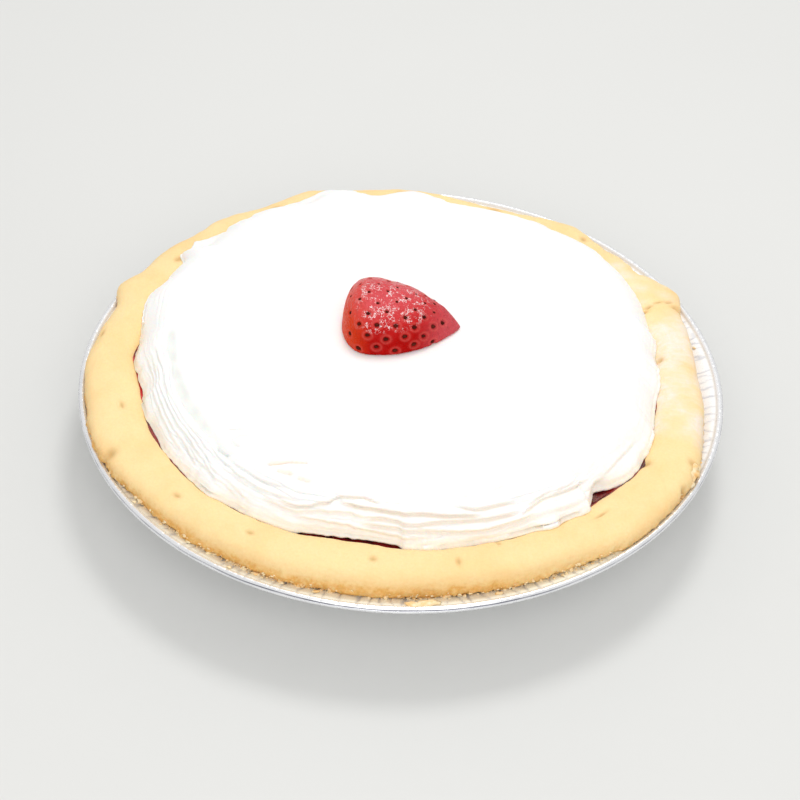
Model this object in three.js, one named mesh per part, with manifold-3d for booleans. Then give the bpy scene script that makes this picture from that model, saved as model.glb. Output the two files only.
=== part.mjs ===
// A strawberry cream tart, whole, in the foil tin it was baked in.
//
// Millimetres, +Z up. The origin is the centre of the tin's flat base, which stands on z = 0.
// The side that faces the viewer is -Y. Angles are in degrees, counter-clockwise from +X.
//
// From the bottom up: a pleated foil tin with a rolled rim, a pastry shell with a fat rounded edge,
// a jellied strawberry filling, a layer of whipped cream with a combed side, and half a strawberry.

import * as THREE from "three";
import { mergeVertices } from "three/addons/utils/BufferGeometryUtils.js";
import Module from "manifold-3d";

const wasm = await Module();
wasm.setup();

const gap = 0.3; // clearance between one piece and the next

const tin = {
  rimRadius: 115, // nominal nine-inch tin, over the rolled rim
  rimHeight: 29.5,
  beadRadius: 1.25, // rolled edge
  flangeStart: 105.2, // radius and height where the wall turns out into the flange
  flangeStartHeight: 25,
  flangeEndHeight: 27.9,
  baseRadius: 87.4,
  foil: 0.5,
  pleats: 160,
  pleatDepth: 0.45,
};

const crust = {
  floor: 5.6, // height of the shell's inside floor
  footRadius: 84.4, // inside corner of that floor
  innerRadius: 93, // where the rounded edge meets the filling
  outerRadius: 109, // widest part of the rounded edge
  widestHeight: 31,
  topHeight: 36.8,
  lipRadius: 111.6, // the underside stays inside the tin's rolled rim
  // Stretches of the edge that swell out or pull in: centre, half width, amount.
  outerSwells: [
    [2, 13, -3.4],
    [25, 4, 3.6],
    [34, 8, 0.9],
    [64, 18, -4.1],
    [111, 6, 4.4],
    [131, 6, 3.4],
    [147, 7, 2.8],
    [159, 4, 5],
    [180, 9, 3],
    [204, 18, 4],
    [275, 15, -1.7],
    [331, 13, 2.8],
  ],
  innerSwells: [
    [181, 7, 2.2],
    [262, 7, -1.6],
    [329, 9, 2.4],
    [357, 14, -3],
  ],
  // Dents and creases pressed into the rounded edge: the angle, the place across it (-1 filling
  // side, 0 top, 1 outer side), the half length along the radius, the half length round, the depth.
  dents: [
    [22, 0, 6, 0.9, 1],
    [208.5, 0.8, 2.2, 2.2, 1.2],
    [225.5, 0.2, 1.3, 2, 0.9],
    [242.5, 0.1, 1.2, 1.8, 0.8],
    [266, 0.1, 1.3, 1.6, 0.8],
    [281.5, 0.2, 1.5, 1.3, 0.8],
    [330, -0.85, 2, 1.6, 1.3],
    [336, 0.75, 2.4, 1.6, 1.2],
  ],
};

const filling = {
  topHeight: 33,
};

const cream = {
  underside: filling.topHeight + gap,
  edgeRadius: 94,
  edgeThickness: 1.3,
  shoulderRadius: 83.5, // where the combed side turns into the flat top
  shoulderHeight: 46.2,
  topHeight: 48.1,
  ridges: 6, // combed rings on the side
  ridgeDepth: 0.8,
  // Stretches of the lower edge that spread out or draw back: centre, half width, amount.
  swells: [
    [40, 16, 4],
    [65, 10, 2.5],
    [90, 6, 4.8],
    [106, 6, 9],
    [125, 12, 6.6],
    [147, 3, 5.5],
    [158, 13, 4.2],
    [193, 4, -1.4],
    [229, 8, 0.8],
    [264, 10, -2.8],
    [302, 3, 2.6],
    [311, 4, 2.5],
    [316, 2.5, -3.1],
    [328, 6, 1.6],
    [353, 13, -4],
  ],
};

const berry = {
  length: 42.5,
  halfWidth: 16.6,
  height: 17.8,
  centre: [-0.9, 4.8],
  bow: 1.3, // how far the middle bows towards the viewer
  seedLength: 1.6,
  seedWidth: 1.1,
  pitRadius: 1.5,
  pitDepth: 0.6,
  rowPitch: 4.1, // spacing of the seed rows round the berry
  seedPitch: 7, // spacing of the seeds along a row
};

// Turns of an angle, in degrees, from a centre: -180 to 180.
function turnFrom(centre, angle) {
  return ((angle - centre + 540) % 360) - 180;
}

// The sum, at an angle, of smooth swells given as [centre, half width, amount].
function sumOfSwells(swells, angle) {
  let sum = 0;
  for (const [centre, halfWidth, amount] of swells) {
    sum += amount * Math.exp(-((turnFrom(centre, angle) / halfWidth) ** 2));
  }
  return sum;
}

// A ripple that repeats a whole number of times in a turn.
function ripple(angle, times, phase) {
  return Math.cos(THREE.MathUtils.degToRad(times * angle + phase));
}

// A closed profile turned about +Z, with a profile of its own at each angle. profileAt(angle) gives
// the same number of [radius, height] points each time: out along the underside and back over the top.
function turnedGeometry(segments, profileAt) {
  const points = profileAt(0).map(([radius, height]) => new THREE.Vector2(radius, height));
  const geometry = new THREE.LatheGeometry(points, segments);
  const position = geometry.getAttribute("position");
  for (let column = 0; column <= segments; column++) {
    const angle = ((column % segments) * 360) / segments;
    const direction = THREE.MathUtils.degToRad(angle);
    profileAt(angle).forEach(([radius, height], row) => {
      const x = radius * Math.cos(direction);
      const y = radius * Math.sin(direction);
      position.setXYZ(column * points.length + row, x, y, height);
    });
  }
  return geometry;
}

// A merged, closed mesh as a solid that can be joined and cut.
function solidOf(geometry) {
  const bare = geometry.index ? geometry.toNonIndexed() : geometry.clone();
  bare.deleteAttribute("normal");
  bare.deleteAttribute("uv");
  const merged = mergeVertices(bare, 1e-4);
  const vertProperties = merged.getAttribute("position").array;
  const triVerts = new Uint32Array(merged.index.array);
  return new wasm.Manifold(new wasm.Mesh({ numProp: 3, vertProperties, triVerts }));
}

function geometryOf(solid) {
  const { vertProperties, triVerts } = solid.getMesh();
  const geometry = new THREE.BufferGeometry();
  geometry.setAttribute("position", new THREE.BufferAttribute(vertProperties, 3));
  geometry.setIndex(new THREE.BufferAttribute(triVerts, 1));
  return geometry;
}

// The tin's wall and flange follow the pleats, which are deepest at the flange.
function tinProfile(angle) {
  const pleat = tin.pleatDepth * ripple(angle, tin.pleats, 0) * (1 + 0.3 * ripple(angle, 7, 40));
  const beadRadius = tin.rimRadius - tin.beadRadius;
  const beadHeight = tin.rimHeight - tin.beadRadius;
  const flangeEnd = beadRadius - tin.beadRadius;
  return [
    [0, 0],
    [tin.baseRadius, 0],
    [tin.flangeStart + pleat, tin.flangeStartHeight],
    [flangeEnd + 0.5, beadHeight - tin.beadRadius],
    [tin.rimRadius, beadHeight - 0.4],
    [beadRadius + 0.1, tin.rimHeight],
    [flangeEnd, tin.flangeEndHeight + tin.foil],
    [tin.flangeStart + pleat - 0.4, tin.flangeStartHeight + tin.foil],
    [tin.baseRadius - 0.5, tin.foil],
    [0, tin.foil],
  ];
}

function crustOuterRadius(angle) {
  const swell = sumOfSwells(crust.outerSwells, angle);
  return crust.outerRadius + swell + 0.3 * ripple(angle, 9, 20) + 0.2 * ripple(angle, 17, 75);
}

function crustInnerRadius(angle) {
  return crust.innerRadius + sumOfSwells(crust.innerSwells, angle) + 0.25 * ripple(angle, 8, 10);
}

function crustTop(angle) {
  return crust.topHeight + 0.5 * ripple(angle, 4, 30) + 0.4 * ripple(angle, 7, 130);
}

// Height of the top of the tin's flange at a radius.
function flangeHeight(radius) {
  const run = (radius - tin.flangeStart) / (tin.rimRadius - 2 * tin.beadRadius - tin.flangeStart);
  return tin.flangeStartHeight + tin.foil + run * (tin.flangeEndHeight - tin.flangeStartHeight);
}

// Height of the rounded edge's top at a radius: a squared-off ellipse in section.
function crustHeight(angle, radius) {
  const outer = crustOuterRadius(angle);
  const inner = crustInnerRadius(angle);
  const across = Math.min(1, Math.abs(2 * radius - outer - inner) / (outer - inner));
  const rise = (1 - across ** 2.4) ** 0.42;
  return crust.widestHeight + (crustTop(angle) - crust.widestHeight) * rise;
}

// A point of the rounded edge: across 1 is its outer side, 0 the top, -1 the filling side.
function crustEdgePoint(angle, across) {
  const outer = crustOuterRadius(angle);
  const inner = crustInnerRadius(angle);
  const radius = (outer + inner) / 2 + ((outer - inner) / 2) * across;
  return [radius, crustHeight(angle, radius)];
}

function crustProfile(angle) {
  const lip = Math.min(crustOuterRadius(angle) - 1.3, crust.lipRadius);
  return [
    [0, tin.foil + gap + 0.1],
    [tin.baseRadius - 1.4, tin.foil + gap + 0.1],
    [tin.flangeStart - 1.2, tin.flangeStartHeight + 1.2],
    [lip, flangeHeight(lip) + 0.9],
    ...[1, 0.93, 0.68, 0, -0.68, -0.93, -1].map((across) => crustEdgePoint(angle, across)),
    [crust.footRadius, crust.floor],
    [0, crust.floor],
  ];
}

// An egg-shaped hollow, centred just over the crust's surface so that it cuts to its depth.
function dentTool([angle, across, alongRadius, round, depth]) {
  const tool = new THREE.SphereGeometry(1.3, 6, 4);
  const [radius, height] = crustEdgePoint(angle, across);
  tool.rotateX(Math.PI / 2);
  tool.scale(alongRadius, round, depth);
  tool.translate(radius, 0, height + 0.3 * depth);
  return tool.rotateZ(THREE.MathUtils.degToRad(angle));
}

function crustGeometry() {
  let solid = solidOf(turnedGeometry(96, crustProfile));
  for (const dent of crust.dents) {
    solid = solid.subtract(solidOf(dentTool(dent)));
  }
  return geometryOf(solid);
}

function fillingProfile(angle) {
  return [
    [0, crust.floor + gap],
    [crust.footRadius - 0.5, crust.floor + gap],
    [crustInnerRadius(angle) - 0.4, crust.widestHeight],
    [crustInnerRadius(angle) - 0.2, filling.topHeight],
    [0, filling.topHeight],
  ];
}

function creamEdgeRadius(angle) {
  const swell = sumOfSwells(cream.swells, angle);
  return cream.edgeRadius + swell + 0.3 * ripple(angle, 13, 20) + 0.2 * ripple(angle, 23, 100);
}

// The cream's underside lies on the filling, and on the crust where it spreads that far.
function creamUnderside(angle, radius) {
  const onCrust = radius > crustInnerRadius(angle) - 0.5;
  return Math.max(cream.underside, onCrust ? crustHeight(angle, radius) + gap + 0.4 : 0);
}

function creamEdgeHeight(angle) {
  return creamUnderside(angle, creamEdgeRadius(angle)) + cream.edgeThickness;
}

// A point of the combed side: climb 0 is the lower edge, 1 the shoulder.
function creamSidePoint(angle, climb, depth) {
  const edge = creamEdgeRadius(angle);
  const edgeHeight = creamEdgeHeight(angle);
  const shoulder = cream.shoulderRadius + 0.85 * (edge - cream.edgeRadius);
  const radius = edge + (shoulder - edge) * climb;
  const height = edgeHeight + (cream.shoulderHeight - edgeHeight) * (1 - (1 - climb) ** 1.5);
  return [radius - depth * 0.7, height - depth * 0.7];
}

// Crest, valley, crest, ... from the lower edge up to the shoulder.
function creamSide(angle) {
  const rows = 2 * cream.ridges;
  return Array.from({ length: rows }, (_, row) => {
    const isValley = row % 2 === 1;
    const uneven = 0.7 + 0.3 * ripple(angle, 5 + row, 60 * row);
    return creamSidePoint(angle, (row + 1) / rows, isValley ? cream.ridgeDepth * uneven : 0);
  });
}

function creamProfile(angle) {
  const edge = creamEdgeRadius(angle);
  const side = creamSide(angle);
  const [shoulder] = side.at(-1);
  const bedStart = cream.edgeRadius - 5;
  const bed = [0, 0.35, 0.75].map((part) => bedStart + (edge - 0.5 - bedStart) * part);
  const wave = 0.35 * ripple(angle, 2, 50);
  return [
    [0, cream.underside],
    ...bed.map((radius) => [radius, creamUnderside(angle, radius)]),
    [edge - 0.5, creamUnderside(angle, edge) + 0.3],
    [edge, creamEdgeHeight(angle)],
    ...side,
    [shoulder * 0.78, cream.shoulderHeight + 0.9 + wave],
    [shoulder * 0.45, cream.topHeight - 0.3 + 0.5 * wave],
    [0, cream.topHeight],
  ];
}

// Half width of the berry at a place along it: 0 is the blunt stalk end, 1 the tip.
function berryHalfWidth(along) {
  const blunt = 1 - (1 - Math.min(along / 0.3, 1)) ** 2.6;
  const taper = Math.max(0, (along - 0.25) / 0.75);
  return berry.halfWidth * Math.sqrt(blunt) * (1 - taper ** 1.9) ** 0.8;
}

// A point on the berry's skin, in the berry's own frame: stalk end at x = 0, cut face on z = 0.
function berrySkinPoint(along, turn) {
  const halfWidth = berryHalfWidth(along);
  const side = halfWidth * Math.cos(THREE.MathUtils.degToRad(turn)) - berry.bow * Math.sin(Math.PI * along);
  const up = halfWidth * Math.sin(THREE.MathUtils.degToRad(turn)) * (berry.height / berry.halfWidth);
  return new THREE.Vector3(along * berry.length, side, up);
}

// The berry, whole, is turned about its length, bowed a little and cut in half lengthwise.
function berryBody() {
  const steps = 8;
  const points = [];
  for (let step = 0; step <= steps; step++) {
    const along = (1 - Math.cos((Math.PI * step) / steps)) / 2;
    points.push(new THREE.Vector2(berryHalfWidth(along), along * berry.length));
  }
  const geometry = new THREE.LatheGeometry(points, 18);
  geometry.rotateZ(-Math.PI / 2);
  geometry.scale(1, 1, berry.height / berry.halfWidth);
  const position = geometry.getAttribute("position");
  for (let i = 0; i < position.count; i++) {
    const bow = berry.bow * Math.sin((Math.PI * position.getX(i)) / berry.length);
    position.setY(i, position.getY(i) - bow);
  }
  const above = new THREE.BoxGeometry(3 * berry.length, 3 * berry.length, berry.length);
  above.translate(0, 0, berry.length / 2);
  return solidOf(geometry).intersect(solidOf(above));
}

// Rows of seeds run from the stalk end to the tip, each row staggered against the next.
function seedPlaces() {
  const places = [];
  const rows = Math.floor((Math.PI * berry.halfWidth) / berry.rowPitch);
  const perRow = Math.floor(berry.length / berry.seedPitch);
  for (let row = 0; row < rows; row++) {
    const turn = (180 * (row + 0.5)) / rows;
    for (let seed = 0; seed < perRow; seed++) {
      const along = (seed + (row % 2 ? 0.95 : 0.45)) / (perRow + 0.4);
      const isCrowded = along > 0.8 && row % 4 > 0; // the rows run together at the narrow tip
      if (!isCrowded) places.push({ along, turn: turn + 3 * Math.sin(7 * row + 3 * seed) });
    }
  }
  return places;
}

// Turns a shape's +Z to the skin's outward direction and sets it at a height over the skin.
function setOnSkin(geometry, { along, turn }, height) {
  const here = berrySkinPoint(along, turn);
  const lengthwise = berrySkinPoint(along + 0.01, turn).sub(here).normalize();
  const crosswise = berrySkinPoint(along, turn + 1).sub(here).normalize();
  const outward = new THREE.Vector3().crossVectors(crosswise, lengthwise).normalize();
  const sideways = new THREE.Vector3().crossVectors(outward, lengthwise);
  const frame = new THREE.Matrix4().makeBasis(lengthwise, sideways, outward);
  frame.setPosition(here.addScaledVector(outward, height));
  return geometry.applyMatrix4(frame);
}

// A shallow bowl, five-sided, that is cut out of the skin round each seed.
function pitTool() {
  const tool = new THREE.SphereGeometry(berry.pitRadius, 5, 3);
  return tool.rotateX(Math.PI / 2).scale(1.1, 0.9, 0.7);
}

function seedShape() {
  const shape = new THREE.SphereGeometry(1, 4, 2);
  return shape.rotateX(Math.PI / 2).scale(berry.seedLength / 2, berry.seedWidth / 2, berry.pitDepth);
}

function strawberryGeometry() {
  const places = seedPlaces();
  const pitHeight = 0.7 * berry.pitRadius - berry.pitDepth;
  const seedHeight = 0.1 - berry.pitDepth;
  let solid = berryBody();
  for (const place of places) {
    solid = solid.subtract(solidOf(setOnSkin(pitTool(), place, pitHeight)));
  }
  for (const place of places) {
    solid = solid.add(solidOf(setOnSkin(seedShape(), place, seedHeight)));
  }
  return geometryOf(solid);
}

function finish(color, roughness, metalness) {
  return new THREE.MeshStandardMaterial({ color, roughness, metalness });
}

function piece(name, geometry, material) {
  const mesh = new THREE.Mesh(geometry, material);
  mesh.name = name;
  return mesh;
}

const tart = new THREE.Group();
tart.add(piece("foil_tin", turnedGeometry(2 * tin.pleats, tinProfile), finish("#e4e6ea", 0.3, 1)));
tart.add(piece("pastry_crust", crustGeometry(), finish("#f3d59b", 0.8, 0)));
tart.add(piece("strawberry_filling", turnedGeometry(96, fillingProfile), finish("#6e0f10", 0.2, 0)));
tart.add(piece("whipped_cream", turnedGeometry(96, creamProfile), finish("#fdfbf5", 0.6, 0)));

const strawberry = piece("strawberry_half", strawberryGeometry(), finish("#cf2f28", 0.25, 0));
strawberry.position.set(berry.centre[0] - berry.length / 2, berry.centre[1], cream.topHeight + gap);
tart.add(strawberry);

export default tart;
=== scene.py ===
import math
import random
from functools import lru_cache

import bmesh
import bpy
from mathutils import Matrix, Vector, noise


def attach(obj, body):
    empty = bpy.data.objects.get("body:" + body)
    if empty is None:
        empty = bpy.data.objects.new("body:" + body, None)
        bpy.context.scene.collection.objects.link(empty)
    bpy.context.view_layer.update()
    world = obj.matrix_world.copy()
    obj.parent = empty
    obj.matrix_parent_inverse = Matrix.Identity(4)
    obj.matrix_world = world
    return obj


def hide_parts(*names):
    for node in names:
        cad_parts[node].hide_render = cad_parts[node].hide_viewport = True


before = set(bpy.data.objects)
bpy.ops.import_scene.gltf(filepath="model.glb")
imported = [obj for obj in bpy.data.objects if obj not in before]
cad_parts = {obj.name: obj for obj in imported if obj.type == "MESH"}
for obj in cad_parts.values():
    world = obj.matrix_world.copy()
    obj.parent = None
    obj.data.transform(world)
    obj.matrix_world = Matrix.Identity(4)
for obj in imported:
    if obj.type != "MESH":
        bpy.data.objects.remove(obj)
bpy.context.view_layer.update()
print("frame loaded:", ", ".join(sorted(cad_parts)))

mm = 0.001


def turnFrom(centre, angle):
    # the turn from centre to angle, -180 to 180
    return (angle - centre + 540) % 360 - 180


def swellSum(swells, angle):
    # each swell is (centre, half width, amount)
    return sum(amount * math.exp(-(turnFrom(centre, angle) / halfWidth) ** 2)
               for centre, halfWidth, amount in swells)


def ripple(angle, times, phase):
    # a wave with that many crests round the tart
    return math.cos(math.radians(times * angle + phase))


def smoothStep(low, high, value):
    # 0 at low and 1 at high, whichever of them is the larger
    part = min(1.0, max(0.0, (value - low) / (high - low)))
    return part * part * (3 - 2 * part)


def arcWindow(angle, start, end, blend):
    # 1 between two angles, falling to 0 over the blend on both sides
    middle = start + ((end - start) % 360) / 2
    reach = ((end - start) % 360) / 2
    return 1 - smoothStep(reach, reach + blend, abs(turnFrom(middle, angle)))


def tableAt(table, angle):
    # a value given at a few angles, in rising order, and eased between them
    turn = angle if angle >= table[0][0] else angle + 360
    for (start, first), (end, second) in zip(table, table[1:]):
        if start <= turn <= end:
            return first + (second - first) * smoothStep(start, end, turn)
    return 0.0


def grain(point, size, seed):
    # smooth noise, -1 to 1, with lumps about size millimetres across
    return 1.6 * noise.noise(Vector(point) / size + Vector((seed, 3.1 * seed, -seed)))


def polar(radius, angle, height=0.0):
    turn = math.radians(angle)
    return (radius * math.cos(turn), radius * math.sin(turn), height)


def pushOut(profile, amounts):
    # moves each point of a (radius, height) outline along its own outward direction
    moved = []
    last = len(profile) - 1
    for i, (radius, height) in enumerate(profile):
        before = profile[max(i - 1, 0)]
        after = profile[min(i + 1, last)]
        alongRadius = after[0] - before[0]
        alongHeight = after[1] - before[1]
        length = math.hypot(alongRadius, alongHeight) or 1.0
        moved.append((radius + amounts[i] * alongHeight / length, height - amounts[i] * alongRadius / length))
    return moved


def spinRound(bm, axis, columns, wedges=20):
    # a full turn of the line in bm: one wedge is spun and the wedge is copied round, leaving seams that the
    # callers merge
    wedge = 2 * math.pi / wedges
    line = bm.verts[:] + bm.edges[:]
    bmesh.ops.spin(bm, geom=line, cent=(0, 0, 0), axis=axis, angle=wedge, steps=columns // wedges)
    whole = bm.verts[:] + bm.edges[:] + bm.faces[:]
    bmesh.ops.spin(bm, geom=whole, cent=(0, 0, 0), axis=axis, angle=2 * math.pi - wedge, steps=wedges - 1,
                   use_duplicate=True)


def drawLine(bm, points):
    # vertices in a row, joined by edges
    row = [bm.verts.new(point) for point in points]
    for first, second in zip(row, row[1:]):
        bm.edges.new((first, second))
    return row


def spunPiece(name, columns, outlineAt, masks=()):
    # A closed body of revolution whose outline changes with the angle: the rings are spun as a plain
    # drum first, then every vertex goes to its place on the outline of its own angle.
    step = 360 / columns
    outlines = [outlineAt(column * step) for column in range(columns)]
    last = len(outlines[0]) - 1
    bm = bmesh.new()
    ringOf = bm.verts.layers.int.new("ring")
    maskLayers = [bm.verts.layers.float.new(mask) for mask in masks]
    drum = [(0.0 if ring in (0, last) else 1.0, 0.0, float(ring)) for ring in range(last + 1)]
    for ring, vert in enumerate(drawLine(bm, drum)):
        vert[ringOf] = ring
    spinRound(bm, (0, 0, 1), columns)
    bmesh.ops.remove_doubles(bm, verts=bm.verts[:], dist=0.0005)
    bmesh.ops.recalc_face_normals(bm, faces=bm.faces[:])
    for vert in bm.verts:
        column = round(math.degrees(math.atan2(vert.co.y, vert.co.x)) / step) % columns
        radius, height, *maskValues = outlines[column][vert[ringOf]]
        for layer, value in zip(maskLayers, maskValues):
            vert[layer] = value
        vert.co = Vector(polar(radius, column * step, height)) * mm
    bm.verts.layers.int.remove(bm.verts.layers.int["ring"])
    return finishMesh(name, bm)


def finishMesh(name, bm):
    for face in bm.faces:
        face.smooth = True
    mesh = bpy.data.meshes.new(name)
    bm.to_mesh(mesh)
    bm.free()
    piece = bpy.data.objects.new(name, mesh)
    bpy.context.scene.collection.objects.link(piece)
    return piece


def dress(piece, material, slot, *nodes):
    piece.data.materials.append(material)
    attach(piece, "root")
    if nodes:
        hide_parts(*nodes)
    print(piece.name, "made,", len(piece.data.polygons), "faces")


def padded(point, count):
    # a point of an outline, with the masks that it lacks at nought
    return (*point, *[0.0] * (count - len(point)))


def link(tree, source, target):
    tree.links.new(source, target)


def addNode(tree, kind, **values):
    node = tree.nodes.new(kind)
    for key, value in values.items():
        if hasattr(node, key):
            setattr(node, key, value)
        else:
            node.inputs[key].default_value = value
    return node


def maskOf(tree, name):
    # a mask that the mesh carries, vertex by vertex
    return addNode(tree, "ShaderNodeAttribute", attribute_name=name).outputs["Fac"]


def noiseNode(tree, vector, scale, detail=3.0, roughness=0.55):
    node = addNode(tree, "ShaderNodeTexNoise", Scale=scale, Detail=detail, Roughness=roughness)
    link(tree, vector, node.inputs["Vector"])
    return node.outputs["Fac"]


def mathNode(tree, operation, first, second=0.5, clamp=False):
    node = addNode(tree, "ShaderNodeMath", operation=operation, use_clamp=clamp)
    for socket, value in zip(node.inputs, (first, second)):
        if isinstance(value, (int, float)):
            socket.default_value = value
        else:
            link(tree, value, socket)
    return node.outputs[0]


def spread(tree, value, low, high, fromOut=0.0, toOut=1.0):
    # stretches the part of a mask between low and high
    node = addNode(tree, "ShaderNodeMapRange", clamp=True)
    link(tree, value, node.inputs["Value"])
    for key, number in (("From Min", low), ("From Max", high), ("To Min", fromOut), ("To Max", toOut)):
        node.inputs[key].default_value = number
    return node.outputs["Result"]


def blendColor(tree, mask, first, second):
    node = addNode(tree, "ShaderNodeMix", data_type="RGBA")
    link(tree, mask, node.inputs[0])
    for socket, value in ((node.inputs[6], first), (node.inputs[7], second)):
        if isinstance(value, tuple):
            socket.default_value = (*value, 1.0)
        else:
            link(tree, value, socket)
    return node.outputs[2]


def newMaterial(name):
    material = bpy.data.materials.new(name)
    material.use_nodes = True
    tree = material.node_tree
    tree.nodes.clear()
    output = tree.nodes.new("ShaderNodeOutputMaterial")
    surface = tree.nodes.new("ShaderNodeBsdfPrincipled")
    link(tree, surface.outputs["BSDF"], output.inputs["Surface"])
    place = tree.nodes.new("ShaderNodeTexCoord").outputs["Object"]
    return material, tree, surface, place


def paint(tree, surface, values):
    # plain numbers stay on the shader's own sockets, colours and masks are linked
    for key, value in values.items():
        if isinstance(value, (int, float)):
            surface.inputs[key].default_value = value
        else:
            link(tree, value, surface.inputs[key])


def addBump(tree, surface, height, strength, distance):
    # the height's distance is in millimetres
    bump = addNode(tree, "ShaderNodeBump", Strength=strength, Distance=distance * mm)
    link(tree, height, bump.inputs["Height"])
    link(tree, bump.outputs["Normal"], surface.inputs["Normal"])
    if surface.inputs["Coat Weight"].default_value or surface.inputs["Coat Weight"].is_linked:
        link(tree, bump.outputs["Normal"], surface.inputs["Coat Normal"])


def useGroup(tree, group, place, **values):
    node = tree.nodes.new("ShaderNodeGroup")
    node.node_tree = group
    link(tree, place, node.inputs["Place"])
    for key, value in values.items():
        node.inputs[key].default_value = value
    return node.outputs


def newGroup(name, inputs, outputs):
    group = bpy.data.node_groups.new(name, "ShaderNodeTree")
    group.interface.new_socket("Place", in_out="INPUT", socket_type="NodeSocketVector")
    for socketName, value in inputs.items():
        socket = group.interface.new_socket(socketName, in_out="INPUT", socket_type="NodeSocketFloat")
        socket.default_value = value
    for socketName in outputs:
        group.interface.new_socket(socketName, in_out="OUTPUT", socket_type="NodeSocketFloat")
    return group, group.nodes.new("NodeGroupInput"), group.nodes.new("NodeGroupOutput")


def makeMottle():
    # broad patches, fine speckle and a relief that follows both
    group, given, result = newGroup("mottle", {"Patches": 60.0, "Speckle": 900.0},
                                    ("Patches", "Speckle", "Relief"))
    patches = addNode(group, "ShaderNodeTexNoise", Detail=4.0, Roughness=0.6)
    speckle = addNode(group, "ShaderNodeTexNoise", Detail=3.0, Roughness=0.65)
    for node, key in ((patches, "Patches"), (speckle, "Speckle")):
        link(group, given.outputs["Place"], node.inputs["Vector"])
        link(group, given.outputs[key], node.inputs["Scale"])
        link(group, node.outputs["Fac"], result.inputs[key])
    fine = mathNode(group, "MULTIPLY", speckle.outputs["Fac"], 0.6)
    link(group, mathNode(group, "ADD", patches.outputs["Fac"], fine), result.inputs["Relief"])
    return group


def makeWetFilm():
    # the small dimples that break up the highlights of a wet skin
    group, given, result = newGroup("wetFilm", {"Cells": 700.0}, ("Dimples",))
    cells = addNode(group, "ShaderNodeTexVoronoi", feature="SMOOTH_F1", Smoothness=0.6)
    swirl = addNode(group, "ShaderNodeTexNoise", Detail=2.0)
    for node in (cells, swirl):
        link(group, given.outputs["Place"], node.inputs["Vector"])
        link(group, given.outputs["Cells"], node.inputs["Scale"])
    dimples = mathNode(group, "ADD", cells.outputs["Distance"], swirl.outputs["Fac"])
    link(group, dimples, result.inputs["Dimples"])
    return group


mottle = makeMottle()
wetFilm = makeWetFilm()


# the foil tin: a pleated wall and flange with a rolled rim
tin = {
    "rimRadius": 115.0,
    "rimHeight": 29.5,
    "beadRadius": 1.25,  # of the rolled rim
    "flangeStart": 105.2,
    "flangeStartHeight": 25.0,
    "flangeEndHeight": 27.9,
    "baseRadius": 87.4,
    "footRound": 0.9,
    "foil": 0.4,  # thickness
    "pleats": 160,
    "pleatDepth": 0.6,
    "columns": 1600,  # faces round
    "color": (0.88, 0.89, 0.91),
    "glint": (0.95, 0.95, 0.96),
    "flange": (0.93, 0.95, 0.98),
    # painted reflection of the golden crust, a warm tint on the flange
    "crustReflection": (0.94, 0.93, 0.72),
    # painted shade for the pleat valleys and the inside of the rolled rim
    "valley": (0.40, 0.43, 0.54),
    # painted shade for the tuck of the rolled rim
    "seamShade": (0.04, 0.04, 0.09),
}


def pleatAt(angle, radius):
    # flat-topped pleats with a sharp valley between them, unevenly spaced and unevenly deep
    phase = tin["pleats"] * angle / 360 + 0.5 * grain(polar(100, angle), 9.0, 4.0)
    phase += 0.3 * grain(polar(radius, angle), 4.0, 5.0)
    part = phase % 1.0
    depth = 1 + 0.9 * grain((0.0, 0.0, math.floor(phase)), 1.7, 9.0)
    return tin["pleatDepth"] * (0.4 - depth * math.exp(-(min(part, 1 - part) / 0.14) ** 2))


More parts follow.
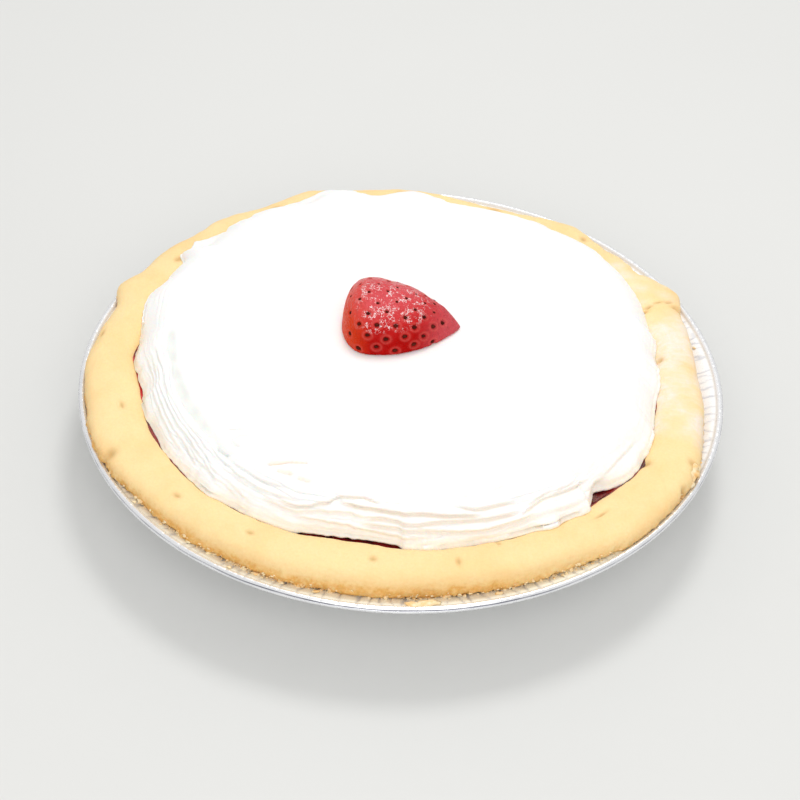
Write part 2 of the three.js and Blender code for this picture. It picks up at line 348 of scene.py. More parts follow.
def tinOutline(angle):
    foil = tin["foil"]
    base = tin["baseRadius"]
    foot = tin["footRound"]
    start = (tin["flangeStart"], tin["flangeStartHeight"])
    bead = tin["rimRadius"] - tin["beadRadius"]
    beadHeight = tin["rimHeight"] - tin["beadRadius"]
    flangeEnd = bead - tin["beadRadius"]

    def wall(climb, lift):
        # climb 0 is the foot, 1 the turn into the flange; lift goes across the leaning wall
        pleat = pleatAt(angle, start[0])
        radius = base + foot + (start[0] - base - foot) * climb + pleat * (0.2 + 0.8 * climb)
        height = foot + (start[1] - foot) * climb
        # painted shade in the valleys between the pleats
        foldShade = smoothStep(-0.1, -0.8, pleat / tin["pleatDepth"]) * (0.2 + 0.5 * climb)
        return (radius - lift * 0.82, height + lift * 0.58, 0.0, foldShade)

    def flange(out, lift):
        # out 0 is the turn of the wall, 1 the rolled rim
        radius = start[0] + (flangeEnd - start[0]) * out
        pleat = pleatAt(angle, radius)
        buckle = pleat * (0.3 + 0.7 * (1 - out) ** 0.7)
        radius += 0.4 * pleat * (1 - out)
        height = start[1] + (tin["flangeEndHeight"] + 0.25 * out - start[1]) * out + buckle * 0.8
        # painted shade in the valleys between the pleats
        foldShade = smoothStep(0.1, -0.6, pleat / tin["pleatDepth"]) * (1 - 0.5 * out)
        return (radius, height + lift, 0.0, foldShade)

    # the underside from the middle outwards
    floor = [0.0, 0.35, 0.7, 0.94]
    climbs = [0.0, 0.12, 0.35, 0.6, 0.85, 0.97]
    outs = [0.08, 0.3, 0.5, 0.7, 0.9]
    outline = [(base * part, 0.0) for part in floor]
    outline += [(base - 0.6, 0.0), (base + 0.35, 0.25)]
    outline += [wall(climb, 0.0) for climb in climbs]
    outline += [flange(out, 0.0) for out in outs]
    outline = [(*padded(point, 4), 1.0) for point in outline]

    # the rolled rim, with a line of painted shade where its edge is tucked in
    seamDepth = 0.35 + 0.15 * grain(polar(110, angle), 7.0, 2.0)
    seamTurn = 27 + 5 * grain(polar(115, angle), 14.0, 3.0)
    # how dark the painted shade in the tuck is, darkest in front
    dark = 0.4 + 0.6 * arcWindow(angle, 248, 292, 10) + 0.3 * grain(polar(115, angle), 5.0, 6.0)
    dark = max(0.0, min(1.0, dark))
    crimp = 0.10 * smoothStep(-0.1, -0.8, pleatAt(angle, 113) / tin["pleatDepth"])
    turns = [-150, -115, -85, -60, -38, -20, -4]
    turns += [seamTurn + step for step in (-15, -7, 0, 7, 15)]
    turns += [60, 80, 100, 120, 140, 160, 180]
    for turn in turns:
        groove = seamDepth * math.exp(-((turn - seamTurn) / 6) ** 2)
        around = tin["beadRadius"] - groove - crimp * smoothStep(40, 70, turn)
        radius = bead + around * math.cos(math.radians(turn))
        height = beadHeight + around * math.sin(math.radians(turn))
        seamShade = dark * math.exp(-((turn - seamTurn) / 9) ** 2)
        # painted shade on the inside of the rolled rim
        foldShade = 0.45 * math.exp(-((turn - 130) / 16) ** 2)
        outline.append((radius, height, seamShade, foldShade, 1.0 if turn < 110 else 0.0))

    # back over the flange and down the inside
    outline += [flange(out, foil) for out in reversed(outs)]
    outline += [wall(climb, foil) for climb in reversed(climbs)]
    outline.append((base - 0.5, foil + 0.12))
    outline += [(base * part, foil) for part in reversed(floor)]
    # film: a painted reflection of the crust, strongest on the flange in front
    film = 0.06 + 0.5 * arcWindow(angle, 185, 320, 20)
    return [(*padded(point, 5), film) for point in outline]


def foilMaterial():
    material, tree, surface, place = newMaterial("foil")
    marks = useGroup(tree, mottle, place, Patches=160.0, Speckle=500.0)
    color = blendColor(tree, spread(tree, marks["Patches"], 0.35, 0.7), tin["color"], tin["glint"])
    bare = maskOf(tree, "bare")
    # the film mask paints the crust's warm reflection onto the inside of the foil
    reflectsCrust = mathNode(tree, "MULTIPLY", mathNode(tree, "SUBTRACT", 1.0, bare), maskOf(tree, "film"))
    color = blendColor(tree, bare, tin["flange"], color)
    color = blendColor(tree, reflectsCrust, color, tin["crustReflection"])
    # painted shade: bluish dark in the pleat valleys and inside the rim
    color = blendColor(tree, mathNode(tree, "MULTIPLY", maskOf(tree, "foldShade"), 0.75), color, tin["valley"])
    # painted shade along the tuck of the rim
    color = blendColor(tree, maskOf(tree, "seamShade"), color, tin["seamShade"])
    paint(tree, surface, {
        "Base Color": color,
        "Roughness": spread(tree, marks["Speckle"], 0.3, 0.7, 0.22, 0.34),
        "Metallic": spread(tree, bare, 0.0, 1.0, 0.05, 0.8),
    })
    addBump(tree, surface, marks["Patches"], 0.16, 0.3)
    return material


foilTin = spunPiece("foilTin", tin["columns"], tinOutline, ("seamShade", "foldShade", "bare", "film"))
dress(foilTin, foilMaterial(), "foil", "foil_tin")


# the pastry shell, with a thick rolled edge that hangs over the flange
crust = {
    "floor": 5.6,
    "footRadius": 84.4,
    "innerRadius": 93.0,
    "outerRadius": 109.0,
    "widestHeight": 31.0,
    "topHeight": 36.8,
    "lipRadius": 111.6,  # where the edge comes down on the flange
    # radius and height under the pastry, from the middle out to the flange
    "underside": ((0.0, 0.9), (45.0, 0.9), (82.0, 0.9), (86.0, 0.9), (92.0, 9.3), (98.0, 17.8),
                  (104.0, 26.2)),
    "columns": 900,
    "outerSwells": (
        (2, 13, -3.4), (25, 4, 3.6), (34, 8, 0.9), (64, 18, -4.1), (77, 9, -4.2), (111, 6, 4.4),
        (131, 6, 3.4), (147, 7, 2.8), (159, 4, 5), (180, 9, 3), (204, 18, 4), (275, 15, -1.7),
        (316, 11, 2.5), (331, 13, 2.8), (333, 6, 0.9),
    ),
    # further out or in at the far right, angle by angle
    "outerShifts": (
        (17, 0.0), (22, 1.0), (25, 1.2), (27, 1.0), (30, 0.3), (31, -0.6), (33, -3.6), (35, -3.5),
        (37, -2.6), (41, -1.3), (43, -1.4), (47, 0.0), (50, 2.2), (54, 4.4), (57, 4.2), (60, 3.2),
        (62, 1.8), (65, 0.6), (69, 0.3), (73, 0.0), (78, 0.3), (83, 0.3), (88, 0.0),
    ),
    "innerSwells": ((181, 7, 2.2), (205, 5, 0.3), (262, 7, -1.6), (264, 13, -1.3), (329, 9, 2.4),
                    (357, 14, -3)),
    # pressed marks, darker in colour (painted shade in the dents, browner on the lumps): angle, place across
    # (-1 filling side to 1 outer side), half size across, half size along the edge, depth; where the depth is
    # minus, a lump stands out
    "dents": (
        (21.0, -0.8, 1.8, 0.55, 1.7), (21.9, -0.5, 1.6, 0.55, 1.5), (22.4, -0.05, 1.8, 0.55, 0.5),
        (22.0, 0.4, 1.6, 0.55, 1.2), (20.6, 0.75, 2.0, 0.7, 2.0), (19.8, 0.9, 1.2, 0.9, 1.2),
        (208.5, 0.8, 2.2, 2.2, 1.2), (225.5, 0.2, 0.9, 1.5, 0.8), (242.5, 0.1, 0.9, 1.4, 0.7),
        (266, 0.1, 1.1, 1.2, 0.7), (281.5, 0.2, 1.6, 0.8, 0.8), (290.2, -0.6, 1.3, 0.6, 0.6),
        (197.6, -0.2, 0.8, 1.8, 0.5), (175.5, 0.7, 0.7, 1.8, 0.5), (311.8, -0.2, 0.5, 2.6, 0.5),
        (330, -0.85, 2.0, 1.6, 0.8), (333.2, 1.0, 1.3, 1.7, 1.7), (328.4, 1.02, 1.1, 1.4, 1.5),
        (334.2, 0.8, 1.8, 1.5, 0.5), (92, 0.1, 1.6, 1.8, 0.7), (48.6, 0.3, 1.4, 1.4, 0.6),
        (4, -0.75, 1.2, 1.4, 0.8), (120, 0.3, 1.5, 2.2, 0.6), (70, 0.2, 1.5, 2.0, 0.6),
        (148, -0.1, 1.4, 1.8, 0.5), (334.8, 0.9, 1.1, 0.9, -0.7), (333.5, 0.88, 0.9, 0.9, -0.6),
        (207.0, 0.97, 1.0, 1.1, -0.8),
    ),
    "pale": (0.95, 0.725, 0.375),
    "golden": (0.91, 0.57, 0.225),
    "toasted": (0.80, 0.44, 0.12),
    "brown": (0.56, 0.28, 0.075),
    # painted shade colour for the dents, also the browner tone of the lumps
    "markDark": (0.52, 0.27, 0.07),
    "floury": (0.90, 0.80, 0.69),
}


@lru_cache(maxsize=None)
def crustOuter(angle):
    swell = swellSum(crust["outerSwells"], angle)
    swell += tableAt(crust["outerShifts"], angle)
    return crust["outerRadius"] + swell + 0.3 * ripple(angle, 9, 20) + 0.2 * ripple(angle, 17, 75)


@lru_cache(maxsize=None)
def crustInner(angle):
    return crust["innerRadius"] + swellSum(crust["innerSwells"], angle) + 0.25 * ripple(angle, 8, 10)


@lru_cache(maxsize=None)
def crustTop(angle):
    return crust["topHeight"] + 0.5 * ripple(angle, 4, 30) + 0.4 * ripple(angle, 7, 130)


def crustHeight(angle, radius):
    # the smooth upper surface of the roll
    outer = crustOuter(angle)
    inner = crustInner(angle)
    across = min(1.0, abs(2 * radius - outer - inner) / (outer - inner))
    return crust["widestHeight"] + (crustTop(angle) - crust["widestHeight"]) * (1 - across ** 2.4) ** 0.42


def flangeTop(radius):
    # the height of the foil that the crust's edge rests on
    run = (radius - tin["flangeStart"]) / (tin["rimRadius"] - 2 * tin["beadRadius"] - tin["flangeStart"])
    return tin["flangeStartHeight"] + 0.5 + run * (tin["flangeEndHeight"] - tin["flangeStartHeight"])


def dentsAt(angle, radius, across, reach):
    # how deep the marks are pressed here, and how much darker they are coloured: painted shade in the dents,
    # browner on the lumps
    dent = 0.0
    markDarkening = 0.0
    for centre, place, halfAcross, halfAlong, depth in crust["dents"]:
        turn = turnFrom(centre, angle)
        if abs(turn) < 4:
            gapAlong = math.radians(turn) * radius / halfAlong
            gapAcross = (across - place) * reach / halfAcross
            press = math.exp(-(gapAlong ** 2 + gapAcross ** 2))
            dent += depth * press
            markDarkening = max(markDarkening, press if depth > 0 else 0.6 * press)
    return dent, markDarkening


def bakedAt(angle, spot, radius, across, low):
    # how toasted the crust is, most of all low down in front, and how floury, on the right; at 297 to 345
    # degrees the low band gets less toasting as painted light, to lift it where it lies in shade
    pale = 1.1 + 0.3 * arcWindow(angle, 205, 285, 12) - 0.7 * arcWindow(angle, 297, 345, 12)
    toastAndPaintedLight = pale * low * (0.9 + 0.5 * grain(spot, 3.0, 11.0)) + 0.15 * smoothStep(0.6, 1.0, across)
    streaks = grain((angle * 1.3, radius / 5.0, 0.0), 1.0, 13.0)
    flour = arcWindow(angle, 343, 15, 6) * (0.75 + 0.6 * grain(spot, 8.0, 12.0) + 0.25 * streaks)
    flour = max(flour, arcWindow(angle, 25, 36, 5) * (0.3 + 0.5 * grain(spot, 6.0, 14.0)))
    return min(1.0, max(0.0, toastAndPaintedLight)), min(1.0, max(0.0, flour))


def crustOutline(angle):
    outer = crustOuter(angle)
    inner = crustInner(angle)
    middle = (outer + inner) / 2
    reach = (outer - inner) / 2
    lip = min(outer - 1.5, crust["lipRadius"])
    lipHeight = flangeTop(lip) + 0.05
    # the outer side from the flange up, then the roll over to the filling
    side = []
    for step in range(9):
        part = step / 8
        bulge = 0.5 * math.sin(math.pi * part)
        radius = lip + (outer - lip) * part ** 0.8 + bulge
        side.append((radius, lipHeight + (crust["widestHeight"] - lipHeight) * part))
    roll = []
    for step in range(1, 33):
        radius = middle + reach * math.cos(math.pi * step / 32)
        roll.append((radius, crustHeight(angle, radius)))
    outline = list(crust["underside"]) + side + roll
    showing = range(len(crust["underside"]), len(outline))
    outline += [(inner - 0.3, crust["widestHeight"] - 3), (crust["footRadius"], crust["floor"])]
    outline += [(45.0, crust["floor"]), (0.0, crust["floor"])]

    amounts = [0.0] * len(outline)
    masks = [(0.0, 0.0, 0.0)] * len(outline)
    crumblyTo = crust["widestHeight"] + 0.5 + 2.8 * arcWindow(angle, 190, 344, 12)
    for i in showing:
        radius, height = outline[i]
        spot = polar(radius, angle, height)
        across = (radius - middle) / reach
        low = 1 - smoothStep(lipHeight + 1.2, crumblyTo, height) if across > 0 else 0.0
        lumps = 0.35 * grain(spot, 14.0, 1.0) + 0.16 * grain(spot, 4.5, 2.0) + 0.05 * grain(spot, 1.6, 3.0)
        ragged = 0.5 * max(0.0, grain(spot, 2.6, 5.0)) + 0.28 * grain(spot, 1.3, 6.0) - 0.12
        ledge = 0.9 * max(0.0, grain(polar(radius, angle, 6 * height), 4.0, 8.0) - 0.15)
        dent, markDarkening = dentsAt(angle, radius, across, reach)
        amounts[i] = lumps + low * (ragged + ledge) - dent
        if height < lipHeight + 0.5:
            amounts[i] = min(amounts[i], 0.4)
        toastAndPaintedLight, flour = bakedAt(angle, spot, radius, across, low)
        masks[i] = (toastAndPaintedLight, markDarkening, flour)
    moved = pushOut(outline, amounts)
    return [(radius, height, *mask) for (radius, height), mask in zip(moved, masks)]


def crustMaterial():
    material, tree, surface, place = newMaterial("crust")
    marks = useGroup(tree, mottle, place, Patches=55.0, Speckle=1100.0)
    crumbly = noiseNode(tree, place, 700.0, 4.0, 0.7)
    powder = spread(tree, noiseNode(tree, place, 260.0, 5.0, 0.75), 0.3, 0.6, 0.3, 1.0)
    # toasting, with painted light that lightens the low band on the right
    toastAndPaintedLight = maskOf(tree, "toastAndPaintedLight")
    layers = (
        (spread(tree, marks["Patches"], 0.42, 0.72, 0.0, 0.45), "golden"),
        (spread(tree, marks["Speckle"], 0.35, 0.75, 0.0, 0.25), "golden"),
        (mathNode(tree, "MULTIPLY", maskOf(tree, "flour"), powder), "floury"),
        (mathNode(tree, "MULTIPLY", toastAndPaintedLight, spread(tree, crumbly, 0.32, 0.6, 0.45, 1.1)), "toasted"),
        (mathNode(tree, "MULTIPLY", toastAndPaintedLight, spread(tree, crumbly, 0.56, 0.74, 0.0, 0.5)), "brown"),
        # painted shade in the dents and a browner tone on the lumps
        (mathNode(tree, "MULTIPLY", maskOf(tree, "markDarkening"), 0.65), "markDark"),
    )
    color = crust["pale"]
    for mask, key in layers:
        color = blendColor(tree, mask, color, crust[key])
    paint(tree, surface, {
        "Base Color": color,
        "Roughness": 0.65,
        "Specular IOR Level": 0.3,
        "Subsurface Weight": 0.12,
        "Subsurface Scale": 2.0 * mm,
    })
    relief = mathNode(tree, "ADD", mathNode(tree, "MULTIPLY", marks["Relief"], 0.5), crumbly)
    addBump(tree, surface, relief, 0.45, 0.35)
    return material


pastryCrust = spunPiece("pastryCrust", crust["columns"], crustOutline, ("toastAndPaintedLight", "markDarkening", "flour"))
dress(pastryCrust, crustMaterial(), "crust", "pastry_crust")


# the jellied filling, which shows in gaps beside the cream
filling = {
    "topHeight": 33.0,
    "intoCrust": 1.3,  # how far its rim runs on under the crust's surface
    "columns": 480,
    "deep": (0.075, 0.004, 0.005),
    "bright": (0.30, 0.012, 0.010),
    # painted light: a brighter red for the gap that lies in the shade of the cream's lip
    "paintedGapLight": (0.62, 0.022, 0.035),
}


def fillingOutline(angle):
    inner = crustInner(angle)
    rise = crust["widestHeight"]
    outline = [(0.0, crust["floor"] + 0.3), (45.0, crust["floor"] + 0.3)]
    outline += [(crust["footRadius"] - 0.5, crust["floor"] + 0.3), (inner - 4.2, 19.0), (inner - 0.5, rise)]
    # its rim runs on into the crust, so that no slot opens where the crust is uneven
    rim = inner + filling["intoCrust"]
    outline += [(rim, filling["topHeight"] + 0.1), (rim, filling["topHeight"] + 0.7)]
    for part in (0.0, 0.25, 0.5, 0.75, 1.0):
        cling = 0.75 * (1 - part) ** 2
        outline.append((inner + 0.55 - 1.55 * part, filling["topHeight"] - 0.1 + cling))
    for back in range(1, 13):
        radius = inner - 1.0 - 0.8 * back
        lump = 0.3 * grain(polar(radius, angle), 3.0, 21.0) - 0.3
        outline.append((radius, filling["topHeight"] + lump))
    outline += [(60.0, filling["topHeight"] - 0.3), (0.0, filling["topHeight"] - 0.3)]
    # painted light: brighter red in the shaded gap at 182 to 195 degrees
    paintedGapLight = arcWindow(angle, 182, 195, 3)
    return [(radius, height, paintedGapLight) for radius, height in outline]


def fillingMaterial():
    material, tree, surface, place = newMaterial("filling")
    film = useGroup(tree, wetFilm, place, Cells=260.0)
    marks = useGroup(tree, mottle, place, Patches=140.0, Speckle=700.0)
    color = blendColor(tree, spread(tree, marks["Patches"], 0.4, 0.65), filling["deep"], filling["bright"])
    # painted light in the shaded gap under the cream's lip
    color = blendColor(tree, maskOf(tree, "paintedGapLight"), color, filling["paintedGapLight"])
    paint(tree, surface, {"Base Color": color, "Roughness": 0.12, "Coat Weight": 0.8, "Coat Roughness": 0.05})
    addBump(tree, surface, film["Dimples"], 0.4, 0.4)
    return material


strawberryFilling = spunPiece("strawberryFilling", filling["columns"], fillingOutline, ("paintedGapLight",))
dress(strawberryFilling, fillingMaterial(), "filling", "strawberry_filling")


# the whipped cream: a thick combed side, a smooth top and a thin edge that lies on the crust
cream = {
    "underside": 33.3,
    "edgeRadius": 94.0,
    "edgeThickness": 1.3,
    "shoulderRadius": 83.5,
    "shoulderHeight": 46.2,
    "topHeight": 48.1,
    "sideLength": 15.5,  # up the side, from the edge to the shoulder
    "ridges": 6,
    "sideRings": 60,
    "topRings": 62,
    "columns": 720,
    "swells": (
        (40, 16, 4), (65, 10, 2.5), (90, 6, 4.8), (106, 6, 9), (125, 12, 6.6), (147, 2.4, 4.4),
        (158, 13, 4.2), (193, 4, -1.4), (229, 8, 0.8), (264, 10, -2.8), (302, 3, 2.6), (311, 4, 2.5),
        (316, 2.5, -3.1), (328, 6, 1.6), (353, 13, -4),
    ),
    # how far the edge really runs beyond the swells or stays behind them, angle by angle
    "spills": (
        (6, -0.8), (10.2, -0.2), (13.4, -1.0), (19.7, -0.4), (31, -0.4), (38.7, -0.1), (43.3, 1.0),
        (49.5, 1.7), (52.9, 0.9), (57.9, 1.6), (61, 0.0), (65.9, -1.1), (73.2, -0.7), (78.9, 0.5),
        (83.1, 1.9), (87.7, 3.0), (91.2, 1.3), (95.1, 1.8), (98.3, 1.8), (100.2, 1.4), (101.8, 5.6),
        (109.1, 4.4), (113, 5.6), (115.5, 5.2), (119.1, 3.5), (121.1, 3.1), (123.3, 1.5), (126.1, 1.3),
        (128.1, 0.6), (131.8, 2.5), (134.9, 1.4), (136.6, 2.4), (138.6, 4.2), (140, 5.8), (141.3, 7.4),
        (142.6, 6.2), (144, 4.6), (145.6, 1.6), (146.9, 1.2), (148.6, -1.0), (151.2, 0.4),
        (153.6, -0.1), (155.5, -0.9), (158.4, -0.8), (161.4, 0.5), (170, 0.3), (176, 0.6), (180.9, 1.2),
        (184.5, 0.8), (186.6, -0.3), (190.5, -0.4), (193.4, -0.2), (198, -0.1), (201.5, -0.1),
        (203, -0.45), (207.7, -0.3), (211.4, -0.1), (217.1, -0.8), (219.8, -0.6), (224, -0.2),
        (229.4, 0.8), (233.7, -1.1), (239.5, -0.4), (244.6, -1.1), (249, -1.5), (250.3, -2.1),
        (252.3, -2.2), (256.3, -2.2), (259.5, -2.0), (264.9, -1.7), (269.9, -1.4), (272.2, 0.0),
        (275, -0.3), (279.1, -1.4), (285.2, -0.9), (290, -0.5), (294.6, 0.0), (301.4, -0.1),
        (311.4, 0.2), (312.3, -1.3), (315, -0.3), (318, -0.9), (320.5, -0.7), (323, -0.3),
        (327.8, -0.6), (331, -0.6), (334, 0.6), (338, 0.8), (340.9, 0.6), (344.7, 0.6), (350.7, 0.9),
        (355.2, 1.3), (359, 0.4), (366, -0.8),
    ),
    # arcs where its lip hangs clear of the filling: start, end, height
    "clearings": ((250.5, 270.5, 0.7), (185.5, 192, 0.4), (201, 209, 0.2), (312.5, 320, 0.4)),
    # lines left by the comb: depth, then (angle, climb) from end to end, climb 0 the edge, 1 the shoulder
    "combLines": (
        (0.8, (243, 0.41), (247.5, 0.40), (250.2, 0.44), (254, 0.60), (257.7, 0.85), (262.1, 0.87),
         (267.2, 0.72)),
        (1.1, (257, 0.66), (263.3, 0.59), (269, 0.58), (275.2, 0.62), (282.3, 0.55), (289, 0.47)),
        (0.8, (282, 0.80), (287.8, 0.63), (292.2, 0.63), (297, 0.60)),
        (0.9, (262, 0.34), (267, 0.40), (273, 0.37), (279.5, 0.43), (297, 0.36)),
        (0.8, (262, 0.22), (275.1, 0.25), (289, 0.17), (300, 0.21)),
        (0.5, (247, 0.22), (252.7, 0.19), (258, 0.16), (263.5, 0.10), (267.6, 0.08), (277, 0.12)),
        (0.8, (295, 0.28), (303, 0.43), (315, 0.36)),
        (0.6, (296.5, 0.40), (303.4, 0.52), (313, 0.46)),
        (0.5, (291, 0.10), (301.9, 0.17), (307.1, 0.12), (313, 0.13)),
        (0.6, (240, 0.33), (247.8, 0.29), (253.9, 0.39), (259.1, 0.42), (264, 0.34)),
        (0.32, (184, 0.62), (199.5, 0.67), (211.6, 0.63), (221.5, 0.55), (229, 0.38), (238, 0.20)),
        (0.36, (200, 0.58), (214.1, 0.52), (222.7, 0.42), (230.1, 0.27), (236, 0.12)),
        (0.45, (222, 0.76), (228.6, 0.68), (234.2, 0.56), (240.3, 0.49), (250, 0.53)),
        (0.42, (229, 0.80), (233.1, 0.77), (239.1, 0.71), (246, 0.76)),
        (0.3, (188, 0.42), (200, 0.44), (212, 0.38), (224, 0.22)),
        (0.25, (190, 0.52), (201, 0.55), (213, 0.47), (225, 0.30), (233, 0.14)),
        (0.25, (194, 0.72), (206, 0.74), (218, 0.70), (226, 0.60), (236, 0.46), (246, 0.36)),
        (0.22, (186, 0.30), (198, 0.32), (209, 0.27), (219, 0.15)),
        (0.3, (318, 0.24), (324.1, 0.28), (333, 0.24)),
    ),
    # strokes of the knife on the top: half width, height (minus is a crease), then x, y from end to end
    "strokes": (
        (3.4, -0.9, -82.5, -2, -79.9, -19, -74, -34.7, -68, -46.7, -61.6, -57.5, -56, -66),
        (1.5, 0.7, -80.5, 5, -76.9, -18.5, -71, -33.7, -64.9, -45, -58.2, -55.5),
        (0.6, -1.7, -42.1, -67.2, -36, -66.2, -30.6, -66.6),
        (0.9, 0.6, -41, -68.8, -36, -67.8, -31, -68),
        (0.6, -0.8, -39.3, -70.0, -35.3, -71.2), (0.6, -0.9, -31.9, -73.4, -29.2, -74.6),
        (0.7, -0.9, -55.9, -56.1, -53, -53.9, -50.7, -53.8), (0.6, -0.8, -57.3, -51.2, -52.3, -51.4),
        (0.7, 0.5, -56.5, -53.6, -51.5, -52.4), (0.6, -0.9, -55.4, -57.5, -53.2, -59.4),
        (0.7, -1.0, -60.4, -60.4, -56.9, -63.2), (0.6, -0.6, -57.5, -18.6, -55.8, -18.5),
        (1.1, -0.4, 13.6, -68.4, 24, -60, 33.5, -47.6), (1.0, 0.3, 15.8, -69.4, 26, -61, 35.5, -48.6),
        (0.6, -0.7, 3.3, -74.7, 4.6, -74.6), (0.7, -0.8, -21.1, -79.8, -18.4, -82.4),
        (0.8, -0.5, 21.8, -78.8, 28, -77.5, 34.2, -73.4), (0.8, -0.5, 51.2, -70.9, 47.8, -74.9),
        (0.5, -0.9, 76.6, 38.2, 77.3, 38.3), (0.6, -0.5, -24.4, -28.4, -22.3, -30.3),
        (1.5, -1.3, 38.3, -79.4, 41.2, -78.2), (0.8, 0.5, 36.5, -80.8, 42.5, -80.2),
        (2.2, 0.35, -52, -62, -44, -72, -30, -79), (2.2, -0.3, -46, -60, -36, -72, -20, -77),
        (2.6, 0.3, 52, 22, 66, 32), (2.4, -0.3, -42, 50, -22, 62), (2.4, 0.3, 20, 56, 45, 49),
    ),
    "color": (0.955, 0.95, 0.93),
    "light": (0.975, 0.97, 0.95),
    # painted shade: warm brownish for the front grooves and creases
    "shadeTan": (0.86, 0.70, 0.54),
    # painted shade: greyish for the other grooves and hollows
    "greyShade": (0.69, 0.71, 0.66),
}


@lru_cache(maxsize=None)
def creamEdge(angle):
    swell = swellSum(cream["swells"], angle)
    return cream["edgeRadius"] + swell + 0.3 * ripple(angle, 13, 20) + 0.2 * ripple(angle, 23, 100)


@lru_cache(maxsize=None)
def creamCalm(angle):
    # the upper layers run on past the place where the lower ones end
    return swellSum([swell for swell in cream["swells"] if not 300 < swell[0] < 330], angle)


def creamSpill(angle):
    return tableAt(cream["spills"], angle)


def creamBed(angle, radius):
    # the height of what the cream lies on
    onCrust = radius > crustInner(angle) - 0.5
    return max(cream["underside"], crustHeight(angle, radius) if onCrust else 0.0)


def climbOfLine(angle, points):
    # how far up the side the comb's line lies at this angle, and how strong it is there
    for (start, low), (end, high) in zip(points, points[1:]):
        if start <= angle <= end:
            climb = low + (high - low) * smoothStep(0, 1, (angle - start) / (end - start))
            fade = min(1.0, (angle - points[0][0]) / 3.0, (points[-1][0] - angle) / 3.0)
            return climb, max(0.0, fade)
    return 0.0, 0.0


def nearStroke(x, y, stroke):
    # the height that one stroke adds at a place near it
    halfWidth, height, *path = stroke
    nearest = 1e9
    for i in range(0, len(path) - 2, 2):
        x0, y0, x1, y1 = path[i:i + 4]
        alongX, alongY = x1 - x0, y1 - y0
        part = ((x - x0) * alongX + (y - y0) * alongY) / (alongX ** 2 + alongY ** 2)
        part = min(1.0, max(0.0, part))
        nearest = min(nearest, (x - x0 - part * alongX) ** 2 + (y - y0 - part * alongY) ** 2)
    if nearest > 9 * halfWidth ** 2:
        return 0.0
    return height * math.exp(-nearest / halfWidth ** 2)


def strokesAt(x, y):
    ragged = 1 + 0.3 * grain((x, y, 0.0), 6.0, 55.0)
    return ragged * sum(nearStroke(x, y, stroke) for stroke in cream["strokes"])


@lru_cache(maxsize=None)
def combLinesAt(angle):
    return [(depth, *climbOfLine(angle, points)) for depth, *points in cream["combLines"]]


def sideRelief(angle, climb, radius, height, combed):
    # what the comb left on the side, and how deep its groove is here
    relief = 0.0
    deep = 0.0
    for depth, place, fade in combLinesAt(angle):
        away = cream["sideLength"] * (climb - place)
        if fade and abs(away) < 3:
            groove = fade * depth * math.exp(-(away / 0.5) ** 2)
            relief += 0.7 * fade * depth * math.exp(-((away - 1.1) / 0.8) ** 2) - 1.2 * groove
            deep = max(deep, fade * depth * math.exp(-((away + 0.15) / 0.75) ** 2))
    # faint ridges between the lines
    wander = 0.6 * grain(polar(40, angle), 16.0, 41.0) + 0.3 * grain(polar(80, angle), 9.0, 42.0)
    phase = cream["ridges"] * climb + wander * min(1.0, 6 * climb)
    part = phase % 1.0
    uneven = max(0.0, 0.55 + 1.0 * grain(polar(60, angle, 9 * math.floor(phase)), 16.0, 43.0))
    faint = 0.06 + 0.15 * arcWindow(angle, 175, 300, 20)
    relief += faint * uneven * (0.8 * (0.5 - part) - math.exp(-(min(part, 1 - part) / 0.12) ** 2))
    spot = polar(radius, angle, height)
    relief += 0.2 * combed * math.sin(13.0 * phase + 2 * grain(spot, 20.0, 46.0)) * (0.5 - part)
    lumps = 0.3 * grain(spot, 8.0, 44.0) + 0.1 * grain(polar(radius, angle, 4 * height), 3.0, 45.0)
    relief += (1 - 0.6 * arcWindow(angle, 325, 175, 10)) * lumps
    if climb > 0.15:
        relief += strokesAt(spot[0], spot[1])
    return relief, deep


def topRelief(angle, radius):
    # the top's relief, calmer round the strawberry, how deep the strokes are, and where their painted shade
    # is warm brownish instead of greyish
    spot = polar(radius, angle)
    x, y = spot[:2]
    strokes = strokesAt(x, y)
    sweep = 0.14 * grain((radius / 3.0, angle * 0.35, 0.0), 1.0, 51.0) * smoothStep(25, 60, radius)
    swell = 0.3 * grain(spot, 26.0, 52.0) + 0.1 * grain(spot, 7.0, 53.0)
    calm = 1 - 0.8 * math.exp(-(math.hypot(x + 1, y - 4.5) / 26) ** 4)
    warm = smoothStep(-60, -64, y) * smoothStep(-52, -48, x)
    return (strokes + sweep + swell) * calm, max(0.0, -strokes), warm


